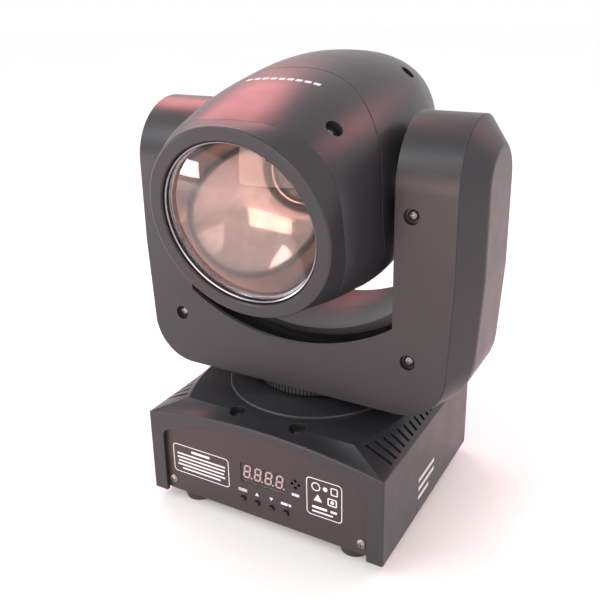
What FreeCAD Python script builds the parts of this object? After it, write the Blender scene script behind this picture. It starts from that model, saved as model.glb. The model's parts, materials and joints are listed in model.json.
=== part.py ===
"""Moving head light: a square base, a yoke that pans on it and a lamp head that tilts in the yoke.

Millimetres, +Z up, front towards -Y.  The origin is on the pan axis, at the level of the feet's soles.
Everything in the lamp head is drawn with the lens axis level and is then tipped about the tilt axis.
"""
import FreeCAD, Part
import math
import os
import re
from types import SimpleNamespace

from FreeCAD import Placement, Rotation, Vector

DIMENSIONS = [
    # feet, base shell and its shoulders
    ("foot_radius", 10.0), ("foot_height", 7.0), ("foot_x", 56.0), ("foot_y", 56.0),
    ("base_width", 160.0), ("base_depth", 144.0), ("side_top", 61.5), ("base_top", 72.0),
    ("front_arch", 8.5), ("plate_front_x", 56.5), ("plate_front_y", 60.5), ("plate_bow", 14.0),
    ("wall", 2.5), ("edge_round", 1.2), ("gap", 0.3),
    ("recess_half", 70.0), ("recess_corner", 50.5), ("recess_crown", 66.5), ("crown_lap", 0.6),
    ("panel_thick", 2.0),
    ("vent_pitch", 6.2), ("vent_width", 2.4), ("vent_count", 19.0), ("vent_lower_x", 77.4),
    ("bottom_thick", 1.5), ("bracket_x", 80.0), ("bracket_y", 50.0), ("bracket_hole", 3.0),
    # front control panel
    ("window_x", 1.5), ("window_z", 37.4), ("window_width", 31.0), ("window_height", 13.5),
    ("button_first", -13.0), ("button_pitch", 10.0), ("button_z", 18.5), ("button_radius", 1.7),
    ("button_travel", 0.8), ("button_proud", 1.4), ("mic_x", 23.8), ("mic_z", 40.5),
    ("panel_screw_x", 66.0), ("panel_screw_z", 15.5), ("screw_radius", 3.0),
    # rear connector panel
    ("inlet_x", -44.0), ("socket_z", 35.0), ("dmx_in_x", 8.0), ("dmx_out_x", 44.0), ("fuse_x", -16.0),
    # pan drive
    ("disc_radius", 55.0), ("disc_edge", 2.2), ("disc_crown", 4.5), ("collar_radius", 36.4),
    ("collar_bottom", 77.4), ("rib_count", 96.0), ("tube_radius", 15.0), ("tube_bore", 11.0),
    ("tube_bottom", 46.0), ("running", 0.05), ("pan_wheel", 28.65), ("tilt_wheel", 19.1),
    ("small_pulley", 6.37), ("belt_thick", 1.3), ("belt_wide", 6.0), ("pan_motor_x", -52.0),
    ("pan_motor_y", 8.0), ("pan_belt_z", 49.5),
    # yoke
    ("yoke_bottom", 82.0), ("yoke_depth", 72.0), ("arm_inner", 67.6), ("arm_rim", 101.6),
    ("arm_outer", 113.0), ("side_flat", 20.8), ("corner_radius", 28.0), ("outer_corner", 38.0),
    ("waist", 2.6), ("trough_radius", 118.7), ("trough_centre", 230.9), ("groove_deep", 8.0),
    ("saddle_front", -20.0), ("groove_back", -12.0), ("saddle_reach", 98.0), ("saddle_bow", 106.0),
    ("cover_split", 17.0),
    ("yoke_screw_x", 77.0), ("yoke_screw_low", 115.5), ("yoke_screw_high", 198.8),
    ("tilt_height", 212.0), ("tilt_rest", 11.2), ("frame_floor", 88.0), ("frame_thick", 2.3),
    ("left_upright", 70.4), ("right_upright", 81.5), ("upright_half", 24.0), ("tilt_motor_z", 146.0),
    ("motor_half", 17.5), ("shaft_radius", 6.0), ("bearing_radius", 11.0), ("tilt_belt_x", 73.0),
    # lamp head, measured from the tilt axis along the lens axis
    ("head_front", 84.9), ("ring_radius", 54.5), ("lens_opening", 46.5), ("barrel_front", 79.0),
    ("shoulder", 70.7), ("shoulder_width", 54.9), ("shoulder_rise", 52.7), ("shoulder_drop", 53.3),
    ("shoulder_top_square", 2.8), ("shoulder_low_square", 3.0),
    ("head_half_width", 62.9), ("head_rise", 59.3), ("head_drop", 55.0), ("widest", 18.0), ("highest", 17.0),
    ("lowest", 27.0), ("top_square", 2.42), ("low_square", 4.9), ("back_square", 2.6),
    ("head_back", -88.95), ("back_shrink", 0.32), ("back_round", 8.0),
    ("seam_front", 39.6), ("seam_radius", 88.6), ("seam_drop", 12.5),
    ("head_screw_front", 50.5), ("head_screw_rear", -51.0),
    ("lens_dome", 9.0), ("lens_seat", 80.0), ("hub_radius", 22.0), ("fan_half", 30.0),
]

doc = FreeCAD.newDocument("moving_head_light")
sheet = doc.addObject("Spreadsheet::Sheet", "dims")
for line, (alias, number) in enumerate(DIMENSIONS, start=1):
    sheet.set(f"A{line}", alias.replace("_", " "))
    sheet.set(f"B{line}", str(number))
    sheet.setAlias(f"B{line}", alias)
doc.recompute()
d = SimpleNamespace(**{alias: float(sheet.get(alias)) for alias, _ in DIMENSIONS})

NODES = []
X, Y, Z = Vector(1, 0, 0), Vector(0, 1, 0), Vector(0, 0, 1)
ORIGIN = Vector(0, 0, 0)
ALONG_X = Rotation(Y, 90)
ALONG_Y = Rotation(X, 90)          # a cylinder's +Z end then points to -Y


# ---------------------------------------------------------------- building blocks

def bound(text):
    """An expression on the sheet: every plain word is one of its aliases."""
    return re.sub(r"\b[a-z]\w*", lambda word: "dims." + word.group(), str(text))


def put(thing, at, turn=None):
    """Place an object at a position given as three expressions."""
    if turn is not None:
        thing.Placement = Placement(ORIGIN, turn)
    for axis, text in zip("xyz", at):
        thing.setExpression(f"Placement.Base.{axis}", bound(text))
    return thing


def box(size, at):
    """A block whose low corner is at the given place."""
    thing = doc.addObject("Part::Box", "block")
    for name, text in zip(("Length", "Width", "Height"), size):
        thing.setExpression(name, bound(text))
    return put(thing, at)


def rod(radius, length, at, turn=None):
    thing = doc.addObject("Part::Cylinder", "rod")
    thing.setExpression("Radius", bound(radius))
    thing.setExpression("Height", bound(length))
    return put(thing, at, turn)


def cone(low, high, length, at, turn=None):
    thing = doc.addObject("Part::Cone", "cone")
    thing.setExpression("Radius1", bound(low))
    thing.setExpression("Radius2", bound(high))
    thing.setExpression("Height", bound(length))
    return put(thing, at, turn)


def fuse(*parts):
    thing = doc.addObject("Part::MultiFuse", "fuse")
    thing.Shapes = list(parts)
    return thing


def cut(base, *tools):
    thing = doc.addObject("Part::Cut", "cut")
    thing.Base = base
    thing.Tool = tools[0] if len(tools) == 1 else fuse(*tools)
    return thing


def group(*parts):
    thing = doc.addObject("Part::Compound", "group")
    thing.Links = list(parts)
    return thing


def made(shape):
    thing = doc.addObject("Part::Feature", "form")
    thing.Shape = shape
    return thing


def node(label, thing, in_head=False):
    """Register a finished sub-part; one that belongs to the lamp head is tipped to its resting angle."""
    thing.Label = label
    if in_head:
        thing.Placement = Placement(ORIGIN, Rotation(X, d.tilt_rest), Vector(0, 0, d.tilt_height))
    NODES.append(thing)
    return thing


def ring(outer, inner, length, at, turn=None):
    return cut(rod(outer, length, at, turn), rod(inner, length, at, turn))


def polygon(points):
    return Part.makePolygon([Vector(*point) for point in points + points[:1]])


def revolved(profile):
    """Solid of revolution about Z from a profile of (radius, height) points."""
    face = Part.Face(polygon([(r, 0, z) for r, z in profile]))
    return face.revolve(ORIGIN, Z, 360)


def head_turned(profile):
    """Solid of revolution about the lens axis from (radius, distance ahead of the tilt axis) points."""
    solid = revolved(profile)
    solid.rotate(ORIGIN, X, 90)
    solid.translate(Vector(0, 0, d.tilt_height))
    return solid


def sewn(faces):
    shell = Part.makeShell(faces)
    shell.sewShape()
    solid = Part.makeSolid(shell)
    outward = solid if solid.Volume > 0 else solid.reversed()
    return outward.removeSplitter()


def screw(x, y, z, turn, radius="screw_radius", shank=8.0):
    """Pan-head screw with a cross slot; its head's underside is at the given point."""
    place = Placement(Vector(x, y, z), turn)
    head_radius = getattr(d, radius)
    head_height = 0.6 * head_radius
    dome = Part.makeSphere(head_radius * 1.25, Vector(0, 0, -0.65 * head_radius))
    form = Part.makeCylinder(head_radius, head_height).common(dome)
    form = form.fuse(Part.makeCylinder(0.5 * head_radius, shank, Vector(0, 0, -shank)))
    slot_long, slot_wide, slot_deep = 1.1 * head_radius, 0.28 * head_radius, 0.35 * head_radius
    for long_x, long_y in ((slot_long, slot_wide), (slot_wide, slot_long)):
        corner = Vector(-long_x / 2, -long_y / 2, head_height - slot_deep)
        form = form.cut(Part.makeBox(long_x, long_y, head_radius, corner))
    form.Placement = place
    return form


# ---------------------------------------------------------------- base

def plate_edge(y, inset=0.0):
    """Half-width of the flat top at a distance y from the middle: a bowed side edge."""
    half = d.plate_front_y
    radius = (half ** 2 + d.plate_bow ** 2) / (2 * d.plate_bow)
    return d.plate_front_x + d.plate_bow - radius + math.sqrt(radius ** 2 - y ** 2) - inset


def base_form(inset, floor):
    """The base: upright sides, arched ends and ruled shoulders up to a flat top with bowed sides."""
    w, depth = d.base_width / 2 - inset, d.base_depth / 2 - inset
    low, high = d.side_top - inset, d.base_top - inset
    plate_x, plate_y = d.plate_front_x - inset / 2, d.plate_front_y - inset / 2
    bow = plate_edge(0, inset / 2)

    def line(a, b):
        return Part.makeLine(Vector(*a), Vector(*b))

    def arc(a, b, c):
        return Part.Arc(Vector(*a), Vector(*b), Vector(*c)).toShape()

    sole = polygon([(-w, -depth, floor), (w, -depth, floor), (w, depth, floor), (-w, depth, floor)])
    faces = [Part.Face(sole)]
    top_edges = []
    for side in (-1, 1):
        y = side * depth
        arch = arc((-w, y, low), (0, y, low + d.front_arch), (w, y, low))
        front = Part.Wire([line((-w, y, floor), (-w, y, low)), arch, line((w, y, low), (w, y, floor)),
                           line((w, y, floor), (-w, y, floor))])
        straight = line((-plate_x, side * plate_y, high), (plate_x, side * plate_y, high))
        faces += [Part.Face(front), Part.makeRuledSurface(arch, straight)]
        x = side * w
        upper = line((x, -depth, low), (x, depth, low))
        bowed = arc((side * plate_x, -plate_y, high), (side * bow, 0, high), (side * plate_x, plate_y, high))
        wall = polygon([(x, -depth, floor), (x, depth, floor), (x, depth, low), (x, -depth, low)])
        faces += [Part.Face(wall), Part.makeRuledSurface(upper, bowed)]
        top_edges += [straight, bowed]
    faces.append(Part.Face(Part.Wire(Part.__sortEdges__(top_edges))))
    return sewn(faces)


def recess_form(grow, y_low, y_high, floor):
    """The opening in an end wall: straight sides, an arched top and rounded upper corners."""
    half, corner = d.recess_half + grow, d.recess_corner + grow
    crown = d.recess_crown + min(grow, d.crown_lap)
    low_end, high_end = Vector(-half, y_low, corner), Vector(half, y_low, corner)
    arch = Part.Arc(low_end, Vector(0, y_low, crown), high_end).toShape()
    rest = [Part.makeLine(Vector(half, y_low, corner), Vector(half, y_low, floor)),
            Part.makeLine(Vector(half, y_low, floor), Vector(-half, y_low, floor)),
            Part.makeLine(Vector(-half, y_low, floor), Vector(-half, y_low, corner))]
    solid = Part.Face(Part.Wire([arch] + rest)).extrude(Vector(0, y_high - y_low, 0))
    across = [edge for edge in solid.Edges if edge.BoundBox.XLength < 0.01 and edge.BoundBox.ZLength < 0.01]
    return solid.makeFillet(6.0, [edge for edge in across if edge.BoundBox.ZMin > corner - 1])


def vent_slots():
    """Slots down both shoulders; each starts just outside the flat top's bowed edge."""
    count = int(d.vent_count)
    slots = []
    for index in range(count):
        y = (index - (count - 1) / 2) * d.vent_pitch
        start = plate_edge(min(abs(y), d.plate_front_y)) + 3.0
        length = d.vent_lower_x - start
        for corner_x in (start, -start - length):
            corner = Vector(corner_x, y - d.vent_width / 2, d.side_top - 8)
            slots.append(Part.makeBox(length, d.vent_width, 20, corner))
    return slots


TOP_SCREW_X = 20.5
TOP_SCREW_SEAT = d.base_top - 4.5


def build_base_shell():
    floor = d.foot_height
    outer = base_form(0, floor)
    rims = [edge for edge in outer.Edges if edge.BoundBox.ZMax > floor + 1]
    outer = outer.makeFillet(d.edge_round, rims)
    shell = outer.cut(base_form(d.wall, floor - 1))
    half = d.base_depth / 2
    for y_low in (-half - 1, half - 2 * d.wall):
        shell = shell.cut(recess_form(0, y_low, y_low + 2 * d.wall + 1, floor - 1))
    bosses, bores = [], [Part.makeCylinder(d.tube_radius + 7, 20, Vector(0, 0, d.base_top - 10))]
    for x in (-TOP_SCREW_X, TOP_SCREW_X):
        for y in (-d.plate_front_y, d.plate_front_y):
            inward = y - math.copysign(0.5, y)
            bosses.append(Part.makeCylinder(6.5, 12, Vector(x, inward, TOP_SCREW_SEAT - 8)))
            bores.append(Part.makeCylinder(4.9, 12, Vector(x, inward, TOP_SCREW_SEAT)))
            bores.append(Part.makeCylinder(2.0, 20, Vector(x, inward, TOP_SCREW_SEAT - 15)))
    shell = shell.fuse([boss.common(outer) for boss in bosses])
    return shell.cut(bores + vent_slots()).removeSplitter()


node("base_shell", made(build_base_shell()))


def build_bottom_plate():
    """Sheet floor of the base with four holes for a clamp bracket."""
    plate = box(("base_width - 2 * wall - 1", "base_depth - 2 * wall - 4.6", "bottom_thick"),
                ("-base_width / 2 + wall + 0.5", "-base_depth / 2 + wall + 2.3", "foot_height"))
    holes = [rod("bracket_hole", "bottom_thick + 2",
                 (f"{sx} * bracket_x / 2", f"{sy} * bracket_y / 2", "foot_height - 1"))
             for sx in (-1, 1) for sy in (-1, 1)]
    return cut(plate, *holes)


node("base_bottom_plate", build_bottom_plate())


def rubber_foot(x, y):
    """Tapered foot with a sunk hole for its screw."""
    return cut(cone("foot_radius - 1.2", "foot_radius", "foot_height - 0.05", (x, y, "0")),
               rod("4", "3.5", (x, y, "-0.5")), rod("1.6", "9", (x, y, "-0.5")))


node("rubber_feet", group(*[
    rubber_foot(f"{sx} * foot_x", f"{sy} * foot_y") for sx in (-1, 1) for sy in (-1, 1)]))
node("foot_screws", made(Part.Compound([
    screw(sx * d.foot_x, sy * d.foot_y, 3.0, Rotation(X, 180), shank=3.9)
    for sx in (-1, 1) for sy in (-1, 1)])))
node("top_screws", made(Part.Compound([
    screw(sx * TOP_SCREW_X, sy * (d.plate_front_y - 0.5), TOP_SCREW_SEAT + 0.02, Rotation(), shank=7.0)
    for sx in (-1, 1) for sy in (-1, 1)])))

# ---------------------------------------------------------------- control panel, at the front

PANEL_FRONT = -d.base_depth / 2 + d.wall + 0.1


def panel_blank(front, back):
    """A panel a little larger than the opening it closes, held behind the end wall."""
    low, high = min(front, back), max(front, back)
    return recess_form(3.0, low, high, d.foot_height + d.bottom_thick + 0.1)


MIC_HOLE, MIC_SPREAD = 1.05, 2.3


def build_control_panel():
    back = PANEL_FRONT + d.panel_thick
    plate = panel_blank(PANEL_FRONT, back)
    depth = 3 * d.panel_thick
    window_low = Vector(d.window_x - d.window_width / 2, PANEL_FRONT - 1, d.window_z - d.window_height / 2)
    tools = [Part.makeBox(d.window_width, depth, d.window_height, window_low)]
    holes = [(x, d.button_z, d.button_radius + 0.3) for x in button_places()]
    holes += [(d.mic_x + dx * MIC_SPREAD, d.mic_z + dz * MIC_SPREAD, MIC_HOLE)
              for dx, dz in ((-1, 0), (1, 0), (0, 1), (0, -1))]
    holes += [(side * d.panel_screw_x, d.panel_screw_z, 1.6) for side in (-1, 1)]
    tools += [Part.makeCylinder(r, depth, Vector(x, PANEL_FRONT - 1, z), Y) for x, z, r in holes]
    return plate.cut(tools)


def button_places():
    return [d.button_first + index * d.button_pitch for index in range(4)]


node("control_panel", made(build_control_panel()))
node("panel_screws", made(Part.Compound([
    screw(side * d.panel_screw_x, y, d.panel_screw_z, turn, shank=6.0)
    for side in (-1, 1)
    for y, turn in ((PANEL_FRONT - 0.02, ALONG_Y), (-PANEL_FRONT + 0.02, Rotation(X, -90)))])))

WINDOW_FRONT = "-base_depth / 2 + wall + 0.5"
node("display_window", box(("window_width - 0.2", "panel_thick - 0.5", "window_height - 0.2"),
                           ("window_x - window_width / 2 + 0.1", WINDOW_FRONT,
                            "window_z - window_height / 2 + 0.1")))
node("display_module", box(("window_width - 1", "6.5", "window_height - 0.6"),
                           ("window_x - window_width / 2 + 0.5", "-base_depth / 2 + wall + panel_thick + 0.2",
                            "window_z - window_height / 2 + 0.3")))
BOARD_Y = "-base_depth / 2 + wall + panel_thick + 7"
switches = [box(("5", "1.2", "5"), (x - 2.5, f"{BOARD_Y} - 1", "button_z - 2.5")) for x in button_places()]
node("control_board", cut(
    fuse(box(("84", "1.6", "36"), ("-40", BOARD_Y, "13")), *switches),
    *[rod("1.6", "6", (x, "-base_depth / 2 + 20", z), ALONG_Y) for x in ("-36", "40") for z in ("17", "45")]))
PANEL_BACK = "-base_depth / 2 + wall + panel_thick"
for label, x in zip(("button_menu", "button_up", "button_down", "button_enter"), button_places()):
    cap = rod("button_radius", "button_proud + panel_thick", (x, PANEL_BACK, "button_z"), ALONG_Y)
    collar = rod("button_radius + 0.9", "1", (x, f"{PANEL_BACK} + 1.3", "button_z"), ALONG_Y)
    stem = rod("button_radius - 0.7", "4", (x, f"{PANEL_BACK} + 5", "button_z"), ALONG_Y)
    node(label, fuse(cap, collar, stem))

# ---------------------------------------------------------------- connector panel, at the rear

REAR_FACE = d.base_depth / 2 - d.wall - 0.1
SOCKET_DEPTH = 18.0
FLANGE = 1.6


def rear_block(width, height, x, y_low, y_high):
    return Part.makeBox(width, y_high - y_low, height, Vector(x - width / 2, y_low, d.socket_z - height / 2))


def rear_rod(radius, x, y_low, y_high, z=None):
    return Part.makeCylinder(radius, y_high - y_low, Vector(x, y_low, d.socket_z if z is None else z), Y)


def build_rear_panel():
    back = REAR_FACE - d.panel_thick
    plate = panel_blank(back, REAR_FACE)
    low, high = back - 1, REAR_FACE + 1
    tools = [rear_block(28.6, 20.6, d.inlet_x, low, high), rear_rod(6.3, d.fuse_x, low, high)]
    tools += [rear_rod(11.9, x, low, high) for x in (d.dmx_in_x, d.dmx_out_x)]
    tools += [rear_rod(1.6, side * d.panel_screw_x, low, high, d.panel_screw_z) for side in (-1, 1)]
    return plate.cut(tools)


def build_inlet():
    """Three-pin mains inlet: a flanged block with a keyed cavity and three flat pins."""
    body = rear_block(28, 20, d.inlet_x, REAR_FACE - SOCKET_DEPTH, REAR_FACE + 0.1)
    body = body.fuse(rear_block(40, 24, d.inlet_x, REAR_FACE + 0.05, REAR_FACE + FLANGE))
    body = body.cut(rear_block(24, 16, d.inlet_x, REAR_FACE - SOCKET_DEPTH + 3, REAR_FACE + 5))
    pin_y = REAR_FACE - SOCKET_DEPTH + 2
    for dx, dz in ((-7, -2), (0, 2.5), (7, -2)):
        pin = Part.makeBox(2, 11, 4, Vector(d.inlet_x + dx - 1, pin_y, d.socket_z + dz - 2))
        body = body.fuse(pin)
    return body


def build_fuse_holder():
    body = rear_rod(6, d.fuse_x, REAR_FACE - 14, REAR_FACE + 0.1)
    cap = rear_rod(8, d.fuse_x, REAR_FACE + 0.05, REAR_FACE + 2.2)
    slot = rear_block(10, 1.4, d.fuse_x, REAR_FACE + 1.3, REAR_FACE + 4)
    return body.fuse(cap).cut(slot)


POLE_CIRCLE = 3.8


def build_dmx_socket(x, has_pins):
    """Round three-pole signal socket on a square flange, with pins or with contact holes."""
    body = rear_rod(11.6, x, REAR_FACE - SOCKET_DEPTH, REAR_FACE + 0.1)
    body = body.fuse(rear_block(26, 31, x, REAR_FACE + 0.05, REAR_FACE + FLANGE))
    out = REAR_FACE + 4
    body = body.cut([rear_rod(1.5, x + side * 10, REAR_FACE - 3, out, d.socket_z + side * 12.5)
                     for side in (-1, 1)])
    turns = [math.radians(angle) for angle in (180, 300, 60)]
    poles = [(x + POLE_CIRCLE * math.cos(turn), d.socket_z + POLE_CIRCLE * math.sin(turn)) for turn in turns]
    if has_pins:
        body = body.cut(rear_rod(9.2, x, REAR_FACE - SOCKET_DEPTH + 3, out))
        start = REAR_FACE - SOCKET_DEPTH + 2
        return body.fuse([rear_rod(1.1, pole_x, start, REAR_FACE - 5.5, pole_z) for pole_x, pole_z in poles])
    body = body.cut(rear_rod(9.2, x, REAR_FACE - 1, out))
    return body.cut([rear_rod(1.3, pole_x, REAR_FACE - 12, out, pole_z) for pole_x, pole_z in poles])


node("rear_panel", made(build_rear_panel()))
node("power_inlet", made(build_inlet()))
node("fuse_holder", made(build_fuse_holder()))
node("dmx_in_socket", made(build_dmx_socket(d.dmx_in_x, True)))
node("dmx_out_socket", made(build_dmx_socket(d.dmx_out_x, False)))

# ---------------------------------------------------------------- electronics in the base

STANDOFF = "foot_height + bottom_thick"


def on_standoffs(length, width, x, y):
    """A circuit board on four pillars; x and y are its low corner."""
    board = box((length, width, "1.6"), (x, y, f"{STANDOFF} + 5"))
    pillars = [rod("2.5", "5.1", (x + dx, y + dy, STANDOFF))
               for dx in (4, length - 4) for dy in (4, width - 4)]
    return [board] + pillars


BOARD_TOP = f"{STANDOFF} + 6.5"
transformers = [box(("26", "30", "22"), ("14", "-36", BOARD_TOP)),
                box(("16", "34", "12"), ("46", "-30", BOARD_TOP))]
big_capacitors = [rod("7", "20", (x, y, BOARD_TOP)) for x, y in (("22", "14"), ("44", "18"))]
node("power_supply", fuse(*on_standoffs(66, 78, 6, -44), *transformers, *big_capacitors))
chips = [box(("12", "12", "2.2"), ("-48", "-40", BOARD_TOP)),
         box(("20", "6", "9"), ("-62", "-50", BOARD_TOP))]
small_capacitors = [rod("4", "9", ("-20", y, BOARD_TOP)) for y in ("-30", "-42")]
node("main_board", fuse(*on_standoffs(62, 34, -68, -52), *chips, *small_capacitors))

# ---------------------------------------------------------------- pan drive

def build_pan_disc():
    """Raised turntable plate: a rounded edge, then a shallow cone up to a flat crown."""
    top, edge = d.base_top, d.disc_edge
    inner = d.tube_radius + 0.6
    profile = [(inner, top + 0.02), (d.disc_radius, top + 0.02), (d.disc_radius, top + edge - 0.9),
               (d.disc_radius - 0.5, top + edge - 0.2), (d.disc_radius - 1.5, top + edge),
               (d.collar_radius + 3, top + d.disc_crown), (inner, top + d.disc_crown)]
    return revolved(profile)


def build_pan_collar():
    """Ribbed ring that hangs under the yoke."""
    height = d.yoke_bottom - d.collar_bottom - 0.02
    low = Vector(0, 0, d.collar_bottom)
    body = Part.makeCylinder(d.collar_radius - 0.9, height, low)
    count = int(d.rib_count)
    ribs = []
    for index in range(count):
        rib = Part.makeBox(1.6, 1.2, height - 0.4, Vector(d.collar_radius - 1.6, -0.6, d.collar_bottom + 0.2))
        rib.rotate(ORIGIN, Z, 360 * index / count)
        ribs.append(rib)
    return body.fuse(ribs).cut(Part.makeCylinder(d.collar_radius - 4, height + 2, low - Vector(0, 0, 1)))


def pulley(radius, bore, wide, teeth):
    """Toothed belt pulley about Z between two flanges, standing on the plane z = 0."""
    flange = 1.0
    body = Part.makeCylinder(radius - 1.0, wide)
    tooth_wide = math.pi * radius / teeth
    pieces = [Part.makeCylinder(radius + 1.6, flange, Vector(0, 0, low)) for low in (-flange, wide)]
    for index in range(teeth):
        tooth = Part.makeBox(1.2, tooth_wide, wide, Vector(radius - 1.2, -tooth_wide / 2, 0))
        tooth.rotate(ORIGIN, Z, 360 * index / teeth)
        pieces.append(tooth)
    body = body.fuse(pieces)
    return body.cut(Part.makeCylinder(bore, wide + 4, Vector(0, 0, -2)))


def belt(centre_distance, big, small, wide):
    """Closed belt in the XY plane round a big pulley at the origin and a small one along +X."""
    def loop(grow):
        first, second = big + grow, small + grow
        lean = math.asin((first - second) / centre_distance)
        sin_lean, cos_lean = math.sin(lean), math.cos(lean)
        top_a = Vector(first * sin_lean, first * cos_lean, 0)
        top_b = Vector(centre_distance + second * sin_lean, second * cos_lean, 0)
        low_a, low_b = Vector(top_a.x, -top_a.y, 0), Vector(top_b.x, -top_b.y, 0)
        back, front = Vector(-first, 0, 0), Vector(centre_distance + second, 0, 0)
        wire = Part.Wire([Part.Arc(low_a, back, top_a).toShape(), Part.makeLine(top_a, top_b),
                          Part.Arc(top_b, front, low_b).toShape(), Part.makeLine(low_b, low_a)])
        return Part.Face(wire).extrude(Vector(0, 0, wide))
    return loop(d.gap + d.belt_thick).cut(loop(d.gap))


def stepper(length):
    """Square stepping motor with chamfered corners; its face is the plane z = 0 and its shaft points up."""
    half = d.motor_half
    body = Part.makeBox(2 * half, 2 * half, length, Vector(-half, -half, -length))
    upright = [edge for edge in body.Edges if abs(edge.tangentAt(edge.FirstParameter).z) > 0.9]
    body = body.makeChamfer(3.0, upright)
    body = body.fuse(Part.makeCylinder(11, 1.8))
    return body.fuse(Part.makeCylinder(2.5, 13.0))


PAN_TEETH, TILT_TEETH, SMALL_TEETH = 90, 60, 20
motor_reach = math.hypot(d.pan_motor_x, d.pan_motor_y)
motor_angle = math.degrees(math.atan2(d.pan_motor_y, d.pan_motor_x))
PULLEY_WIDE = d.belt_wide + 1.0
MOTOR_FACE = d.pan_belt_z - 3.5

node("pan_disc", made(build_pan_disc()))
node("pan_collar", made(build_pan_collar()))
CARRIER_TOP = "base_top - wall - 0.1"
carrier_flange = rod("45", "2.5", (0, 0, f"{CARRIER_TOP} - 2.5"))
carrier_cup = rod("26", "10.5", (0, 0, f"{CARRIER_TOP} - 10.5"))
bearing_seat = rod("21", "12", (0, 0, f"{CARRIER_TOP} - 11"))
node("bearing_carrier", cut(fuse(carrier_flange, carrier_cup), bearing_seat))
node("pan_bearing", ring("21 - 0.02", "tube_radius + running", "9", (0, 0, f"{CARRIER_TOP} - 9.6")))
node("pan_tube", cut(
    fuse(rod("tube_radius", "frame_floor - tube_bottom + 10", (0, 0, "tube_bottom")),
         rod("28", "3.3", (0, 0, "frame_floor - 3.35"))),
    rod("tube_bore", "60", (0, 0, "tube_bottom - 1"))))
pan_pulley_form = pulley(d.pan_wheel, d.tube_radius + 0.02, PULLEY_WIDE, PAN_TEETH)
pan_pulley_form.translate(Vector(0, 0, d.pan_belt_z))
node("pan_pulley", made(pan_pulley_form))
pan_motor_form = stepper(30.0)
pan_motor_form.translate(Vector(d.pan_motor_x, d.pan_motor_y, MOTOR_FACE))
node("pan_motor", made(pan_motor_form))
pan_small_form = pulley(d.small_pulley, 2.5 + d.running, PULLEY_WIDE, SMALL_TEETH)
pan_small_form.translate(Vector(d.pan_motor_x, d.pan_motor_y, d.pan_belt_z))
node("pan_motor_pulley", made(pan_small_form))
pan_belt_form = belt(motor_reach, d.pan_wheel, d.small_pulley, d.belt_wide)
pan_belt_form.rotate(ORIGIN, Z, motor_angle)
pan_belt_form.translate(Vector(0, 0, d.pan_belt_z + 0.5))
node("pan_belt", made(pan_belt_form))

# ---------------------------------------------------------------- yoke

def front_outline(rim, radius, low, y):
    """Closed front view of the yoke, both arms and the bridge in one piece, in a plane of constant y."""
    top = d.tilt_height + d.yoke_depth
    waist = rim - d.waist
    centre_x, centre_z = waist - radius, low + radius
    half_root = radius / math.sqrt(2)
    swell = d.yoke_bottom + 80

    def line(a, b):
        return Part.makeLine(Vector(a[0], y, a[1]), Vector(b[0], y, b[1]))

    right = Part.Arc(Vector(centre_x, y, low), Vector(centre_x + half_root, y, centre_z - half_root),
                     Vector(waist, y, centre_z)).toShape()
    left = Part.Arc(Vector(-waist, y, centre_z), Vector(-centre_x - half_root, y, centre_z - half_root),
                    Vector(-centre_x, y, low)).toShape()
    return Part.Wire([line((-centre_x, low), (centre_x, low)), right, line((waist, centre_z), (rim, swell)),
                      line((rim, swell), (rim, top)), line((rim, top), (-rim, top)),
                      line((-rim, top), (-rim, swell)), line((-rim, swell), (-waist, centre_z)), left])


def inset_outline(inset, y):
    """The covers' own outline, moved in by a wall's thickness."""
    return front_outline(d.arm_rim - inset, d.corner_radius - inset, d.yoke_bottom + inset, y)


def outer_outline(inset, y):
    """The wider outline that the side covers reach half-way back."""
    return front_outline(d.arm_outer - inset, d.outer_corner - inset, d.yoke_bottom + inset, y)


def trough(radius, y_low, y_high, inner):
    """Space between the arms and above an arc, from one plane of constant y to another."""
    width = y_high - y_low
    tunnel = Part.makeCylinder(radius, width, Vector(0, y_low, d.trough_centre), Y)
    slab = Part.makeBox(2 * inner, width, 300, Vector(-inner, y_low, d.yoke_bottom))
    above = Part.makeBox(2 * inner, width, 200, Vector(-inner, y_low, d.trough_centre))
    return tunnel.common(slab).fuse(above)


def swing_form(grow):
    """Space that the head swings in: a barrel about the tilt axis, as wide as the gap between the arms."""
    inner = d.arm_inner + grow
    centre, radius = d.saddle_reach - d.saddle_bow, d.saddle_bow + grow
    side = centre + math.sqrt(radius ** 2 - inner ** 2)
    corners = [Vector(-inner, side, 0), Vector(-inner, 0, 0), Vector(inner, 0, 0), Vector(inner, side, 0)]
    edges = [Part.makeLine(near, far) for near, far in zip(corners, corners[1:])]
    edges.append(Part.Arc(corners[3], Vector(0, centre + radius, 0), corners[0]).toShape())
    barrel = Part.Face(Part.Wire(edges)).revolve(ORIGIN, X, 360)
    barrel.translate(Vector(0, 0, d.tilt_height))
    return barrel


def between_arms(inset):
    """What is open between the arms: a low front rim, a groove, and a saddle that overhangs the groove."""
    inner, front = d.arm_inner + inset, -d.yoke_depth / 2
    groove_radius, groove_back = d.trough_radius + d.groove_deep + inset, d.groove_back + inset
    if inset:
        behind = Part.makeBox(300, 100, 400, Vector(-150, groove_back, 0))
        return swing_form(inset).common(behind).fuse(trough(groove_radius, front, groove_back, inner))
    behind = Part.makeBox(300, 100, 400, Vector(-150, d.saddle_front, 0))
    overhang = trough(d.trough_radius, d.saddle_front, groove_back + 1, inner)
    groove = trough(groove_radius, front + d.wall, groove_back, inner).cut(overhang)
    rim = trough(d.trough_radius, front - 1, front + d.wall, inner)
    return swing_form(0).common(behind).fuse([groove, rim])


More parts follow.
